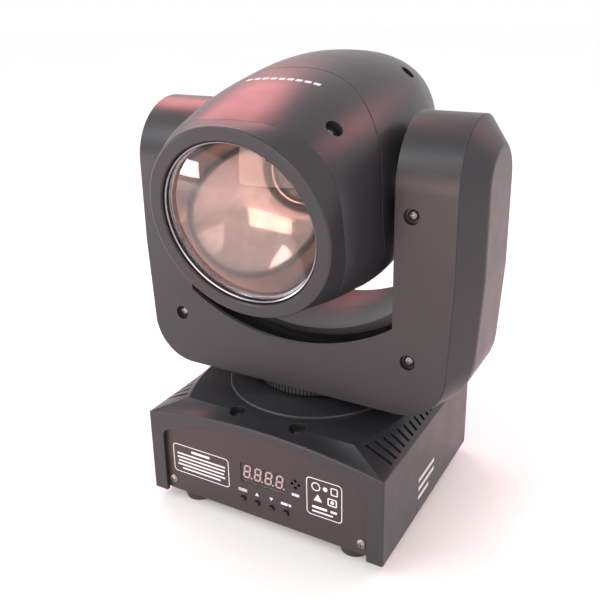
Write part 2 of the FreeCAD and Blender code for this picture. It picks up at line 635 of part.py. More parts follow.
def yoke_form(inset, open_sides=False):
    """Solid yoke: front view times side view, less the space between the arms."""
    half = d.yoke_depth / 2 - inset
    reach = d.arm_rim + (20 if open_sides else 0)
    body = Part.Face(inset_outline(inset, -half)).extrude(Vector(0, 2 * half, 0))
    if open_sides:
        for sign in (-1, 1):
            low = Vector(sign * d.arm_rim - 15, -half, d.yoke_bottom + 26)
            body = body.fuse(Part.makeBox(30, 2 * half, d.yoke_depth + 140, low))
    low = Vector(-reach, -half, d.yoke_bottom)
    side_view = Part.makeBox(2 * reach, 2 * half, d.tilt_height - d.yoke_bottom, low)
    side_view = side_view.fuse(Part.makeCylinder(half, 2 * reach, Vector(-reach, 0, d.tilt_height), X))
    return body.common(side_view).cut(between_arms(inset))


def screw_places():
    return [(sx * d.yoke_screw_x, z) for sx in (-1, 1) for z in (d.yoke_screw_low, d.yoke_screw_high)]


SCREW_SEAT = 3.2


def build_yoke_covers():
    """Front and rear half shells of the yoke, which meet on a plane of constant y."""
    outer = yoke_form(0)
    shell = outer.cut(yoke_form(d.wall, open_sides=True))
    half = d.yoke_depth / 2
    bosses, bores = [], []
    for x, z in screw_places():
        for sign in (-1, 1):
            bosses.append(Part.makeCylinder(6.0, 10, Vector(x, sign * (half - 0.5), z), Y * -sign))
            bores.append(Part.makeCylinder(4.5, SCREW_SEAT, Vector(x, sign * half, z), Y * -sign))
            bores.append(Part.makeCylinder(1.6, 14, Vector(x, sign * half, z), Y * -sign))
    bores.append(Part.makeCylinder(d.tube_radius + 14, 8, Vector(0, 0, d.yoke_bottom - 2)))
    bores.append(Part.makeCylinder(d.shaft_radius + 3, 400, Vector(-200, 0, d.tilt_height), X))
    shell = shell.fuse(bosses).cut(bores)
    covers = []
    for sign in (-1, 1):
        start = d.cover_split + (0.05 if sign > 0 else -60.05)
        side = Part.makeBox(300, 60, 300, Vector(-150, start, 0))
        covers.append(shell.common(side))
    return covers


def arm_section(half, top_radius, x, low):
    """Upright arm outline in the YZ plane: straight sides under a half-round top."""
    rear, front = Vector(x, half, d.tilt_height), Vector(x, -half, d.tilt_height)
    rear_foot, front_foot = Vector(x, half, low), Vector(x, -half, low)
    edges = [Part.makeLine(front_foot, rear_foot), Part.makeLine(rear_foot, rear),
             Part.Arc(rear, Vector(x, 0, d.tilt_height + top_radius), front).toShape(),
             Part.makeLine(front, front_foot)]
    return Part.Wire(edges)


def side_cap(inset):
    """Solid that the right-hand side cover is cut from: bevelled towards its front, back and top."""
    rim, flat = d.yoke_depth / 2 - inset, d.side_flat - 0.6 * inset
    low, far = d.yoke_bottom - 5, d.arm_outer - inset
    sections = [arm_section(rim, rim, d.arm_rim, low), arm_section(flat, flat, far, low)]
    upright_form = Part.makeLoft(sections, True, True)
    inner = Part.Face(arm_section(rim, rim, 40, low)).extrude(Vector(d.arm_rim - 40, 0, 0))
    pillow = Part.Face(outer_outline(inset, -flat)).extrude(Vector(0, 2 * flat, 0))
    bevels = [Part.makeLoft([inset_outline(inset, side * rim), outer_outline(inset, side * flat)], True, True)
              for side in (-1, 1)]
    return upright_form.fuse(inner).common(pillow.fuse(bevels)).removeSplitter()


def build_side_cover(sign):
    """Pillow-shaped cap on the outside of an arm; it wraps round the arm's lower corner."""
    outer = side_cap(0)
    flat_edges = [edge for edge in outer.Edges if edge.BoundBox.XMin > d.arm_outer - 0.01]
    outer = outer.makeFillet(5.0, [edge for edge in flat_edges if edge.BoundBox.ZMin > d.tilt_motor_z])
    core = Part.Face(inset_outline(-0.1, -d.yoke_depth)).extrude(Vector(0, 2 * d.yoke_depth, 0))
    cover = outer.cut(side_cap(d.wall)).cut(core)
    if sign < 0:
        cover = cover.mirror(ORIGIN, X)
    return cover


front_cover, rear_cover = build_yoke_covers()
node("yoke_front_cover", made(front_cover))
node("yoke_rear_cover", made(rear_cover))
node("side_cover_left", made(build_side_cover(-1)))
node("side_cover_right", made(build_side_cover(1)))
node("yoke_screws", made(Part.Compound([
    screw(x, sign * (d.yoke_depth / 2 - SCREW_SEAT + 0.02), z, turn, shank=9.0)
    for x, z in screw_places() for sign, turn in ((-1, ALONG_Y), (1, Rotation(X, -90)))])))


def upright(x):
    """Strip of the bracket with a round end about the tilt axis."""
    strip = box(("frame_thick", "2 * upright_half", "tilt_height - frame_floor"),
                (x, "-upright_half", "frame_floor"))
    return fuse(strip, rod("upright_half", "frame_thick", (x, 0, "tilt_height"), ALONG_X))


def build_frame():
    """Steel bracket inside the yoke: a floor plate and an upright in each arm."""
    floor = box(("left_upright + right_upright + 2 * frame_thick", "2 * upright_half", "frame_thick"),
                ("-left_upright - frame_thick", "-upright_half", "frame_floor"))
    seats = [rod("bearing_radius + 0.02", "20", (x, 0, "tilt_height"), ALONG_X)
             for x in ("-left_upright - 10", "right_upright - 8")]
    seats.append(rod("11.4", "20", ("right_upright - 8", 0, "tilt_motor_z"), ALONG_X))
    seats.append(rod("tube_radius + 0.05", "20", (0, 0, "frame_floor - 8")))
    return cut(fuse(floor, upright("-left_upright - frame_thick"), upright("right_upright")), *seats)


node("yoke_frame", build_frame())
for label, x in (("tilt_bearing_left", "-left_upright - 7.2"), ("tilt_bearing_right", "right_upright + 0.2")):
    node(label, ring("bearing_radius", "shaft_radius + running", "7", (x, 0, "tilt_height"), ALONG_X))
LEFT_FRAME = "-left_upright - frame_thick"
driver_sheet = box(("1.6", "44", "70"), (f"{LEFT_FRAME} - 14", "-22", "118"))
drivers = [box(("8", "9", "9"), (f"{LEFT_FRAME} - 22", -16 + 13 * step, "150")) for step in range(3)]
spacers = [rod("2.2", "12.5", (f"{LEFT_FRAME} - 12.5", y, z), ALONG_X)
           for y in ("-18", "18") for z in ("122", "184")]
node("driver_board", fuse(driver_sheet, *drivers, *spacers))


def lay_along_x(shape, x, z):
    """Turn a form drawn about Z so that its +Z runs along +X, on an axis at height z."""
    shape.rotate(ORIGIN, Y, 90)
    shape.translate(Vector(x, 0, z))
    return shape


tilt_motor_form = stepper(22.0)
tilt_motor_form.rotate(ORIGIN, Y, 180)
node("tilt_motor", made(lay_along_x(tilt_motor_form, d.right_upright + d.frame_thick + 0.02, d.tilt_motor_z)))
node("tilt_motor_pulley", made(lay_along_x(
    pulley(d.small_pulley, 2.5 + d.running, d.belt_wide, SMALL_TEETH), d.tilt_belt_x, d.tilt_motor_z)))
tilt_belt_form = belt(d.tilt_height - d.tilt_motor_z, d.tilt_wheel, d.small_pulley, d.belt_wide - 0.6)
node("tilt_belt", made(lay_along_x(tilt_belt_form, d.tilt_belt_x + 0.3, d.tilt_height)))

# ---------------------------------------------------------------- lamp head

def swelling(ahead, at_shoulder, full, peak):
    """A half-size of the head: it grows from the shoulder back to its peak, then shrinks towards the rear."""
    if ahead > peak:
        share = (d.shoulder - ahead) / (d.shoulder - peak)
        return at_shoulder + (full - at_shoulder) * math.sin(0.5 * math.pi * share)
    share = (peak - ahead) / (peak - d.head_back)
    return full * (1 - d.back_shrink * share ** 3)


def squareness(ahead, at_shoulder, full, at_back):
    """Exponent of the head's section, 2 for an ellipse: from the shoulder to full, then towards the rear."""
    if ahead > d.widest:
        share = (d.shoulder - ahead) / (d.shoulder - d.widest)
        return at_shoulder + (full - at_shoulder) * math.sin(0.5 * math.pi * share)
    share = (d.widest - ahead) / (d.widest - d.head_back)
    return full + (at_back - full) * share ** 2


def head_reach(ahead, angle, inset=0.0):
    """Distance from the lens axis to the head's surface, at a station and at an angle up from sideways."""
    across, up = math.cos(math.radians(angle)), math.sin(math.radians(angle))
    width = swelling(ahead, d.shoulder_width, d.head_half_width, d.widest)
    if up >= 0:
        height = swelling(ahead, d.shoulder_rise, d.head_rise, d.highest)
        square = squareness(ahead, d.shoulder_top_square, d.top_square, d.top_square)
    else:
        height = swelling(ahead, d.shoulder_drop, d.head_drop, d.lowest)
        square = squareness(ahead, d.shoulder_low_square, d.low_square, d.back_square)
    total = (abs(across) / (width - inset)) ** square + (abs(up) / (height - inset)) ** square
    return total ** (-1 / square)


OUTLINE_STEPS = 60
LOFT_STEPS = 12


def outline(ahead, distance):
    """Smooth closed curve about the lens axis; distance gives its radius at an angle."""
    points = []
    for index in range(OUTLINE_STEPS):
        angle = 360 * index / OUTLINE_STEPS
        across, up = math.cos(math.radians(angle)), math.sin(math.radians(angle))
        points.append(Vector(distance(angle) * across, -ahead, distance(angle) * up + d.tilt_height))
    knots = [index / OUTLINE_STEPS for index in range(OUTLINE_STEPS + 1)]
    curve = Part.BSplineCurve()
    curve.interpolate(Points=points, PeriodicFlag=True, Parameters=knots)
    return Part.Wire([curve.toShape()])


def head_loft(back, inset=0.0):
    """The head from its shoulder back to a station, as one smooth form."""
    length = back - d.shoulder
    stations = [d.shoulder + length * index / LOFT_STEPS for index in range(LOFT_STEPS + 1)]
    wires = [outline(ahead, lambda angle: head_reach(ahead, angle, inset)) for ahead in stations]
    return Part.makeLoft(wires, True, False)


SEAM_GAP = 0.25
HEAD_SCREW_ANGLES = (45, 135, 225, 315)
HEAD_SCREW_DEEP = 4.5


def behind_seam(grow):
    """Everything behind the curved seam between the two shells."""
    centre = Vector(-100, d.seam_radius - d.seam_front, d.tilt_height - d.seam_drop)
    return Part.makeCylinder(d.seam_radius + grow, 200, centre, X)


def corner_cylinder(ahead, angle, start, radius, length):
    """A cylinder that points outwards at a corner of the head, from a distance start off the lens axis."""
    way = Vector(math.cos(math.radians(angle)), 0, math.sin(math.radians(angle)))
    return Part.makeCylinder(radius, length, Vector(0, -ahead, d.tilt_height) + way * start, way)


def with_screw_pockets(shell, outer, ahead):
    """Add a boss, a pocket for the screw's head and a pilot hole at each corner of a shell."""
    bosses, bores = [], []
    for angle in HEAD_SCREW_ANGLES:
        seat = head_reach(ahead, angle) - HEAD_SCREW_DEEP
        bosses.append(corner_cylinder(ahead, angle, seat - 6, 6.5, 12).common(outer))
        bores.append(corner_cylinder(ahead, angle, seat, 4.7, 20))
        bores.append(corner_cylinder(ahead, angle, seat - 10, 1.6, 20))
    return shell.fuse(bosses).cut(bores)


HEAD_FORM = head_loft(d.head_back)
HEAD_SPACE = head_loft(d.head_back + d.wall + 1, d.wall)


def build_front_shell():
    """Front shell, open at the shoulder where the bezel meets it."""
    outer = HEAD_FORM.cut(behind_seam(SEAM_GAP))
    return with_screw_pockets(outer.cut(HEAD_SPACE), outer, d.head_screw_front)


GRILLE_PITCH = 6.0


def build_rear_shell():
    """Rear shell with a rounded end and slots before the fan."""
    rim = [edge for edge in HEAD_FORM.Edges if edge.BoundBox.YMin > -d.head_back - 0.5]
    outer = HEAD_FORM.makeFillet(d.back_round, rim).common(behind_seam(-SEAM_GAP))
    shell = with_screw_pockets(outer.cut(HEAD_SPACE), outer, d.head_screw_rear)
    slots = []
    for index in range(-4, 5):
        rise = GRILLE_PITCH * index
        half = math.sqrt(d.fan_half ** 2 - rise ** 2)
        low = Vector(-half, -d.head_back - 6, d.tilt_height + rise - GRILLE_PITCH / 4)
        slots.append(Part.makeBox(2 * half, 12, GRILLE_PITCH / 2, low))
    bar = Part.makeBox(3, 16, 70, Vector(-1.5, -d.head_back - 8, d.tilt_height - 35))
    holes = [slot.cut(bar) for slot in slots]
    axle = [Part.makeCylinder(d.shaft_radius + 3, 200, Vector(-100, 0, d.tilt_height), X)]
    return shell.cut(holes + axle)


def in_head(label, shape):
    """Tip a form drawn at the tilt height to its resting angle and register it."""
    shape = shape.copy()
    shape.rotate(Vector(0, 0, d.tilt_height), X, d.tilt_rest)
    return node(label, made(shape))


in_head("front_shell", build_front_shell())
in_head("rear_shell", build_rear_shell())


BARREL_OUTER = 49.5


def build_bezel():
    """Front ring: a flat round face, and a side that runs back to the head's squarer shoulder."""
    front, back = d.head_front, d.shoulder + 0.12
    ring_form = Part.makeLoft([outline(back, lambda angle: head_reach(d.shoulder, angle)),
                               outline(front, lambda angle: d.ring_radius)], True, True)
    rim = [edge for edge in ring_form.Edges if edge.BoundBox.YMax < -front + 0.01]
    ring_form = ring_form.makeFillet(1.1, rim)
    bore, seat_radius, seat = d.lens_opening, BARREL_OUTER + 0.1, d.barrel_front + 0.1
    barrel_space = [(0, back - 1), (seat_radius, back - 1), (seat_radius, seat), (bore, seat)]
    mouth = [(bore, front - 0.8), (bore + 1.2, front + 0.4), (0, front + 0.4)]
    return ring_form.cut(head_turned(barrel_space + mouth))


def build_lens():
    """Plano-convex front lens with a flat seating flange."""
    seat, radius, rise = d.lens_seat, d.lens_opening - 1.4, d.lens_dome
    sphere_radius = (radius ** 2 + rise ** 2) / (2 * rise)
    flange = 3.0
    body = Part.makeCylinder(radius, flange, Vector(0, -seat + flange, 0), Y * -1)
    dome = Part.makeSphere(sphere_radius, Vector(0, -seat - rise + sphere_radius, 0))
    cap = dome.common(Part.makeCylinder(radius, rise + 2, Vector(0, -seat, 0), Y * -1))
    lens = body.fuse(cap).removeSplitter()
    lens.translate(Vector(0, 0, d.tilt_height))
    return lens


def build_lens_ring():
    """Thin bright ring that clamps the lens against its seat."""
    outer, inner = d.lens_opening - 0.1, d.lens_opening - 2.4
    seat = d.lens_seat
    front_lip = [(outer, seat + 2.2), (outer - 0.7, seat + 3.0), (inner + 0.9, seat + 2.6)]
    lens_groove = [(inner + 0.6, seat + 1.0), (inner + 1.2, seat + 0.6), (inner + 1.2, seat - 3.1),
                   (inner - 1, seat - 3.1)]
    return head_turned([(outer, seat - 5.2)] + front_lip + lens_groove + [(inner - 1, seat - 5.2)])


in_head("bezel_ring", build_bezel())
in_head("lens", build_lens())
in_head("lens_ring", build_lens_ring())


def head_screw(ahead, angle):
    """A screw at a corner of the head, pointing at the lens axis, in its pocket."""
    corner = Placement(Vector(0, -ahead, d.tilt_height), Rotation(Y, 90 - angle))
    depth = Placement(Vector(0, 0, head_reach(ahead, angle) - HEAD_SCREW_DEEP + 0.02), Rotation())
    return screw(0, 0, 0, Rotation(), shank=7.0).transformed((corner * depth).toMatrix())


in_head("head_screws", Part.Compound([
    head_screw(ahead, angle)
    for ahead in (d.head_screw_front, d.head_screw_rear) for angle in HEAD_SCREW_ANGLES]))

BARREL_BACK = 8.0
in_head("optical_barrel", head_turned([
    (44.0, BARREL_BACK), (47.5, BARREL_BACK),
    (BARREL_OUTER, d.barrel_front - 1), (BARREL_OUTER, d.barrel_front),
    (d.lens_opening, d.barrel_front), (d.lens_opening, d.lens_seat - 5.3)]))
in_head("light_guide", head_turned([(0, 5.8), (5, 5.8), (13, 40), (13, 43), (0, 43)]))
in_head("guide_holder", head_turned([(13.3, 38), (43.5, 38), (43.5, 41), (13.3, 41)]))
in_head("led_board", head_turned([(0, 2.02), (24, 2.02), (24, 3.6), (6, 3.6), (6, 5.4), (0, 5.4)]))


def build_heatsink():
    """Finned block behind the light source."""
    wide, fin, count = 70.0, 1.6, 12
    low = Vector(-wide / 2, -1.98, d.tilt_height - wide / 2)
    plate = Part.makeBox(wide, 6, wide, low)
    pitch = (wide - fin) / (count - 1)
    fins = [Part.makeBox(fin, 34, wide, low + Vector(pitch * index, 5, 0)) for index in range(count)]
    return plate.fuse(fins)


def build_fan_frame():
    half = d.fan_half
    y = 46.0
    corner = Vector(-half, y, d.tilt_height - half)
    frame = Part.makeBox(2 * half, 15, 2 * half, corner)
    frame = frame.cut(Part.makeCylinder(half - 1.5, 20, Vector(0, y - 2, d.tilt_height), Y))
    spider = Part.makeCylinder(10, 2, Vector(0, y + 13, d.tilt_height), Y)
    for angle in (0, 90, 180, 270):
        arm = Part.makeBox(half + 1, 2, 3, Vector(0, y + 13, -1.5))
        arm.rotate(Vector(0, y, 0), Y, 45 + angle)
        arm.translate(Vector(0, 0, d.tilt_height))
        spider = spider.fuse(arm)
    frame = frame.fuse(spider.common(Part.makeBox(2 * half, 20, 2 * half, corner)))
    axle = Part.makeCylinder(1.5, 10.7, Vector(0, y + 3.3, d.tilt_height), Y)
    return frame.fuse(axle)


def build_fan_rotor():
    y = 48.0
    hub = Part.makeCylinder(9.5, 9.5, Vector(0, y, d.tilt_height), Y)
    blades = []
    for index in range(7):
        blade = Part.makeBox(18.5, 1.0, 9.0, Vector(8, -0.5, -4.5))
        blade.rotate(ORIGIN, X, 38)
        blade.rotate(ORIGIN, Y, 360 * index / 7)
        blade.translate(Vector(0, y + 4.7, d.tilt_height))
        blades.append(blade)
    rotor = hub.fuse(blades).common(Part.makeCylinder(d.fan_half - 2.3, 9.5, Vector(0, y, d.tilt_height), Y))
    return rotor.cut(Part.makeCylinder(1.5 + d.running, 9.0, Vector(0, y + 1, d.tilt_height), Y))


in_head("heatsink", build_heatsink())
in_head("fan_frame", build_fan_frame())
in_head("fan_rotor", build_fan_rotor())


CHEEK_SIDE = d.head_half_width - d.wall - 4.0


def build_chassis():
    """Bracket across the head: a plate before the heatsink and a cheek for each hub."""
    side = CHEEK_SIDE
    cheeks = [Part.makeBox(2.0, 34, 40, Vector(x, -14, d.tilt_height - 20)) for x in (side - 2, -side)]
    plate = Part.makeBox(2 * side, 2, 40, Vector(-side, -4, d.tilt_height - 20))
    plate = plate.fuse(Part.makeBox(84, 2, 84, Vector(-42, -4, d.tilt_height - 42)))
    plate = plate.cut(Part.makeCylinder(26, 10, Vector(0, -8, d.tilt_height), Y))
    return plate.fuse(cheeks)


def build_hub(sign, reach):
    """Flanged half-axle that carries the head in its bearing."""
    start = CHEEK_SIDE + 0.05
    root = Vector(start, 0, d.tilt_height)
    boss_root = Vector(d.head_half_width + 0.3, 0, d.tilt_height)
    disc = Part.makeCylinder(d.shaft_radius + 2.5, d.arm_inner - start - 1.5, root, X)
    flange = Part.makeCylinder(16, 2.0, root, X)
    boss = Part.makeCylinder(d.hub_radius, d.arm_inner - d.head_half_width - 1.3, boss_root, X)
    axle = Part.makeCylinder(d.shaft_radius, reach - start, root, X)
    hub = disc.fuse([flange, boss, axle])
    hub = hub.cut(Part.makeCylinder(3.5, 80, Vector(start - 5, 0, d.tilt_height), X))
    return hub if sign > 0 else hub.mirror(ORIGIN, X)


in_head("head_chassis", build_chassis())
in_head("tilt_hub_left", build_hub(-1, d.left_upright + 8.5))
in_head("tilt_hub_right", build_hub(1, d.right_upright + 8.5))
in_head("tilt_pulley", lay_along_x(pulley(d.tilt_wheel, d.shaft_radius + 0.02, d.belt_wide, TILT_TEETH),
                                   d.tilt_belt_x, d.tilt_height))

# ---------------------------------------------------------------- check and write

doc.recompute()
broken = [thing.Label for thing in doc.Objects if {"Invalid", "Error"} & set(thing.State)]
broken += [thing.Label for thing in NODES if thing.Shape.isNull() or not thing.Shape.isValid()]
if broken:
    raise SystemExit("not written, these failed: " + ", ".join(broken))
os.makedirs("parts", exist_ok=True)
for thing in NODES:
    thing.Shape.exportStep(f"parts/{thing.Label}.step")
print(len(NODES), "nodes written")
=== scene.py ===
"""Looks of the moving head light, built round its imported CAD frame.

Metres, +Z up, front towards -Y, as in the frame.  Small sizes are given in millimetres and turned into
metres by MM.  Every CAD node stays visible; the pieces added here are the printing, the display's
segments and the reflector behind the lens.
"""
import json
import math

import bmesh
import bpy
from mathutils import Euler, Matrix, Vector
from mathutils.bvhtree import BVHTree


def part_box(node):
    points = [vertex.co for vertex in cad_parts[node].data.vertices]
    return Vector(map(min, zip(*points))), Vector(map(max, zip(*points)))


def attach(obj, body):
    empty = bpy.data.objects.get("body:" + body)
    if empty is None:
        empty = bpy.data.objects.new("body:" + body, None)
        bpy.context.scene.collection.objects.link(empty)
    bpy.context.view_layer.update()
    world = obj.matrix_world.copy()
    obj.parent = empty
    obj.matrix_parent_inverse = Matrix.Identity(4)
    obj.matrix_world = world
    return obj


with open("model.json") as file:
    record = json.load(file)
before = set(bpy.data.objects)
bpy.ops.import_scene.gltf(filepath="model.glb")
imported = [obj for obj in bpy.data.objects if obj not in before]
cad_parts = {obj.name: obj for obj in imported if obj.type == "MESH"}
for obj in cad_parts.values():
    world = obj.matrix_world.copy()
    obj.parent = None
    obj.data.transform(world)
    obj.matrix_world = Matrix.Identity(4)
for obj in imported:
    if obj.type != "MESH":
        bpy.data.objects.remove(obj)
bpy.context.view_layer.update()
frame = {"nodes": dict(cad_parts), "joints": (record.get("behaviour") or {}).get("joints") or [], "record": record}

MM = 0.001
NODES = frame["nodes"]
JOINTS = {joint["name"]: joint for joint in frame["joints"]}
TILT_CENTRE = Vector(JOINTS["tilt"]["pos_m"])
LENS_AXIS = -Vector(JOINTS["fan_spin"]["axis"]).normalized()


# ---------------------------------------------------------------- node helpers

class Finish:
    """A procedural material: a Principled shader and the few texture nodes that feed it."""

    def __init__(self, name, colour, roughness, metallic=0.0):
        self.material = bpy.data.materials.new(name)
        self.material.use_nodes = True
        self.tree = self.material.node_tree
        self.shader = self.tree.nodes["Principled BSDF"]
        self.colour, self.roughness = colour, roughness
        self.set("Base Color", (*colour, 1.0))
        self.set("Roughness", roughness)
        self.set("Metallic", metallic)
        self.place = self.node("ShaderNodeTexCoord").outputs["Object"]
        self.normal = None

    def set(self, socket, value):
        self.shader.inputs[socket].default_value = value
        return self

    def node(self, kind, **settings):
        made = self.tree.nodes.new(kind)
        for name, value in settings.items():
            setattr(made, name, value)
        return made

    def link(self, source, target):
        self.tree.links.new(source, target)

    def noise(self, size, detail=3.0, stretch=None):
        """Noise whose features are about the given size in metres; stretch scales it along each axis."""
        texture = self.node("ShaderNodeTexNoise")
        texture.inputs["Scale"].default_value = 1.0 / size
        texture.inputs["Detail"].default_value = detail
        place = self.place
        if stretch:
            mapping = self.node("ShaderNodeMapping")
            mapping.inputs["Scale"].default_value = stretch
            self.link(place, mapping.inputs["Vector"])
            place = mapping.outputs["Vector"]
        self.link(place, texture.inputs["Vector"])
        return texture.outputs["Fac"]

    def spread(self, source, low, high, from_low=0.3, from_high=0.7):
        """A value between low and high as the source runs over its usual range."""
        made = self.node("ShaderNodeMapRange")
        limits = {"From Min": from_low, "From Max": from_high, "To Min": low, "To Max": high}
        for socket, value in limits.items():
            made.inputs[socket].default_value = value
        self.link(source, made.inputs["Value"])
        return made.outputs["Result"]

    def mix(self, factor, first, second):
        """Colour between two colours, each a tuple or a socket."""
        made = self.node("ShaderNodeMix", data_type="RGBA")
        for name, value in (("A", first), ("B", second)):
            socket = [s for s in made.inputs if s.name == name and s.type == "RGBA"][0]
            if isinstance(value, tuple):
                socket.default_value = (*value, 1.0)
            else:
                self.link(value, socket)
        self.link(factor, made.inputs["Factor"])
        return [s for s in made.outputs if s.type == "RGBA"][0]

    def edges(self, radius):
        """A factor that is 1 on sharp outer edges and 0 on open faces, and a normal rounded over them."""
        bevel = self.node("ShaderNodeBevel", samples=6)
        bevel.inputs["Radius"].default_value = radius
        flat = self.node("ShaderNodeNewGeometry")
        dot = self.node("ShaderNodeVectorMath", operation="DOT_PRODUCT")
        self.link(bevel.outputs["Normal"], dot.inputs[0])
        self.link(flat.outputs["Normal"], dot.inputs[1])
        self.normal = bevel.outputs["Normal"]
        return self.spread(dot.outputs["Value"], 1.0, 0.0, from_low=0.80, from_high=0.985)

    def bump(self, source, depth, strength):
        made = self.node("ShaderNodeBump")
        made.inputs["Distance"].default_value = depth
        made.inputs["Strength"].default_value = strength
        self.link(source, made.inputs["Height"])
        if self.normal:
            self.link(self.normal, made.inputs["Normal"])
        self.normal = made.outputs["Normal"]
        return self

    def done(self):
        if self.normal:
            self.link(self.normal, self.shader.inputs["Normal"])
        return self.material


def brighter(colour, factor):
    """The colour with each channel scaled, up to white."""
    return tuple(min(1.0, channel * factor) for channel in colour)


def moulded(name, colour, roughness, grain=0.5 * MM, depth=0.02 * MM, edge=0.35 * MM):
    """Moulded plastic with a spark-eroded grain, faint clouding and sharp edges painted lighter as a highlight."""
    finish = Finish(name, colour, roughness)
    painted_edge_highlight = finish.edges(edge)
    cloud = finish.noise(60 * MM, detail=3.0)
    clouded = finish.mix(finish.spread(cloud, 0.0, 1.0), brighter(colour, 0.93), brighter(colour, 1.07))
    # sharp outer edges are painted lighter: a painted edge highlight
    finish.link(finish.mix(finish.spread(painted_edge_highlight, 0.0, 0.4, 0.0, 1.0), clouded, brighter(colour, 2.2)),
                finish.shader.inputs["Base Color"])
    handled = finish.spread(finish.noise(14 * MM, detail=5.0), roughness - 0.025, roughness + 0.03)
    finish.link(handled, finish.shader.inputs["Roughness"])
    finish.bump(finish.noise(grain, detail=2.0), depth, 0.6)
    return finish.done()


def painted(name, colour, roughness, peel=1.6 * MM):
    """Sprayed paint on metal: a very shallow orange peel under a soft sheen."""
    finish = Finish(name, colour, roughness)
    painted_edge_highlight = finish.edges(0.3 * MM)
    cloud = finish.noise(30 * MM)
    clouded = finish.mix(finish.spread(cloud, 0.0, 1.0), brighter(colour, 0.93), brighter(colour, 1.07))
    # sharp outer edges are painted lighter: a painted edge highlight
    finish.link(finish.mix(finish.spread(painted_edge_highlight, 0.0, 0.4, 0.0, 1.0), clouded, brighter(colour, 2.0)),
                finish.shader.inputs["Base Color"])
    finish.bump(finish.noise(peel, detail=1.0), 0.02 * MM, 0.5)
    return finish.done()


def metal(name, colour, roughness, stretch=(1.0, 1.0, 1.0), line=0.4 * MM):
    """Bare or plated metal; stretch gives the run of its brushing."""
    finish = Finish(name, colour, roughness, metallic=1.0)
    painted_edge_highlight = finish.edges(0.2 * MM)
    lines = finish.noise(line, detail=4.0, stretch=stretch)
    finish.link(finish.spread(lines, roughness - 0.08, roughness + 0.12), finish.shader.inputs["Roughness"])
    tone = finish.mix(finish.spread(finish.noise(6 * MM, detail=5.0), 0.0, 1.0),
                      brighter(colour, 0.85), brighter(colour, 1.1))
    # sharp outer edges are painted lighter: a painted edge highlight
    finish.link(finish.mix(finish.spread(painted_edge_highlight, 0.0, 0.5, 0.0, 1.0), tone, brighter(colour, 1.35)),
                finish.shader.inputs["Base Color"])
    finish.bump(lines, 0.004 * MM, 0.5)
    return finish.done()


def rubber(name, colour, roughness):
    """Dull rubber with a mottled tone and a coarse skin."""
    finish = Finish(name, colour, roughness)
    cloud = finish.noise(5 * MM, detail=5.0)
    finish.link(finish.mix(finish.spread(cloud, 0.0, 1.0), brighter(colour, 0.8), brighter(colour, 1.35)),
                finish.shader.inputs["Base Color"])
    finish.set("Specular IOR Level", 0.35)
    finish.bump(finish.noise(0.6 * MM, detail=3.0), 0.03 * MM, 0.7)
    return finish.done()


def clear(name, colour, roughness, ior, smudge=0.05):
    """Glass: transmissive, with a faint film that softens its reflections here and there."""
    finish = Finish(name, colour, roughness)
    finish.set("Transmission Weight", 1.0).set("IOR", ior)
    finish.link(finish.spread(finish.noise(14 * MM, detail=6.0), roughness, roughness + smudge),
                finish.shader.inputs["Roughness"])
    return finish.done()


def circuit(name, colour):
    """Solder mask with darker tracks and tinned pads."""
    finish = Finish(name, colour, 0.35)
    tracks = finish.noise(2.5 * MM, detail=0.0, stretch=(1.0, 1.0, 3.0))
    finish.link(finish.mix(finish.spread(tracks, 0.0, 1.0, 0.48, 0.52), colour, brighter(colour, 1.8)),
                finish.shader.inputs["Base Color"])
    finish.bump(tracks, 0.03 * MM, 0.5)
    return finish.done()


# ---------------------------------------------------------------- finishes

CHARCOAL = (0.020, 0.020, 0.024)
FINISHES = {
    "shell_plastic": moulded("shell_moulding", CHARCOAL, 0.36),
    "panel_paint": painted("panel_paint", (0.032, 0.021, 0.023), 0.36),
    "rubber": rubber("foot_rubber", (0.035, 0.032, 0.034), 0.7),
    "zinc_screw": metal("zinc_screw", (0.26, 0.25, 0.25), 0.34),
    "steel_sheet": metal("galvanised_sheet", (0.55, 0.56, 0.58), 0.38, stretch=(1.0, 12.0, 1.0)),
    "steel": metal("ground_steel", (0.60, 0.60, 0.61), 0.25),
    "lens_glass": clear("lens_glass", (0.97, 0.985, 0.98), 0.0, 1.52, smudge=0.02),
    "bright_rim": metal("turned_rim", (0.30, 0.29, 0.31), 0.22),
    "display_glass": clear("smoked_window", (0.55, 0.45, 0.46), 0.03, 1.45),
    "display_body": moulded("display_body", (0.020, 0.014, 0.015), 0.5),
    "button_plastic": moulded("button_plastic", (0.020, 0.019, 0.020), 0.25),
    "circuit_board": circuit("circuit_board", (0.02, 0.11, 0.05)),
    "socket_plastic": moulded("socket_plastic", (0.03, 0.03, 0.032), 0.32),
    "socket_metal": metal("socket_nickel", (0.55, 0.54, 0.52), 0.28),
    "aluminium": metal("aluminium", (0.70, 0.71, 0.73), 0.30, stretch=(1.0, 1.0, 10.0)),
    "belt_rubber": rubber("belt_rubber", (0.02, 0.02, 0.02), 0.62),
    "motor_paint": painted("motor_paint", (0.035, 0.035, 0.04), 0.4),
    "fan_plastic": moulded("fan_plastic", (0.03, 0.03, 0.032), 0.4),
    "barrel_paint": painted("barrel_paint", (0.035, 0.028, 0.028), 0.4),
    "light_guide_glass": clear("light_guide_glass", (0.96, 0.97, 0.98), 0.0, 1.5),
}

slot_of = {part["node"]: part["material_slot"] for part in frame["record"]["subparts"]}
for node_name, thing in NODES.items():
    thing.data.materials.clear()
    thing.data.materials.append(FINISHES[slot_of[node_name]])


# ---------------------------------------------------------------- mesh helpers

def new_piece(name, mesh_maker, finish, body):
    """Make an object from bmesh code and ride it on a body."""
    shape = bmesh.new()
    mesh_maker(shape)
    bmesh.ops.recalc_face_normals(shape, faces=shape.faces)
    mesh = bpy.data.meshes.new(name)
    shape.to_mesh(mesh)
    shape.free()
    piece = bpy.data.objects.new(name, mesh)
    bpy.context.scene.collection.objects.link(piece)
    mesh.materials.append(finish)
    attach(piece, body)
    return piece


